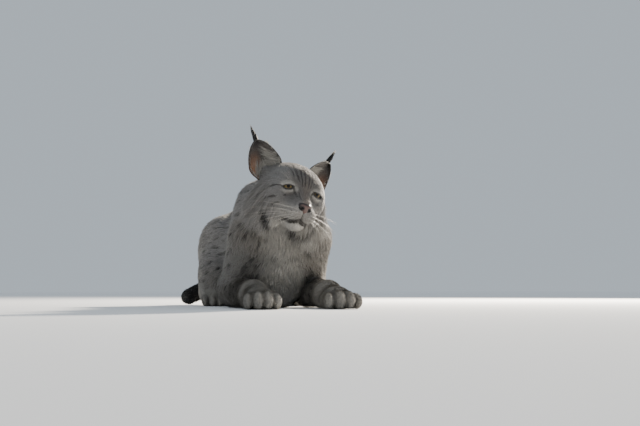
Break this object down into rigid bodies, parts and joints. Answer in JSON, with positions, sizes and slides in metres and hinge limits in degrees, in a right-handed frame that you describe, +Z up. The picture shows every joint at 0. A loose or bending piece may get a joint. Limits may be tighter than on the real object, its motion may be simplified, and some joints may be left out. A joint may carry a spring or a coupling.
{
  "type": "eurasian lynx",
  "caption": "Life-size Eurasian lynx lying on its chest, head up and turned a little, ear tufts and cheek ruff, forepaws out in front.",
  "frame": {"origin": "on the floor, in the middle of the whole box", "axes": "+Z up, the animal faces -Y, its left side is +X"},
  "size_m": [0.367, 0.9232, 0.4545],
  "materials": {
    "coat_body": "soft grey-brown fur with small dark spots",
    "coat_pale": "soft pale fur",
    "coat_dark": "soft black fur at ear backs and tail tip",
    "nose_leather": "moist matt skin",
    "eye": "wet gloss"
  },
  "bodies": {
    "root": {"head": "coat_body", "nose": "nose_leather", "eye_left": "eye", "eye_right": "eye", "ear_left": "coat_dark", "ear_right": "coat_dark", "neck": "coat_body", "torso": "coat_body", "upper_arm_left": "coat_body", "upper_arm_right": "coat_body", "forearm_left": "coat_body", "forearm_right": "coat_body", "forepaw_left": "coat_pale", "forepaw_right": "coat_pale", "thigh_left": "coat_body", "thigh_right": "coat_body", "shank_left": "coat_body", "shank_right": "coat_body", "hind_paw_left": "coat_pale", "hind_paw_right": "coat_pale", "tail": "coat_dark"}
  },
  "joints": []
}
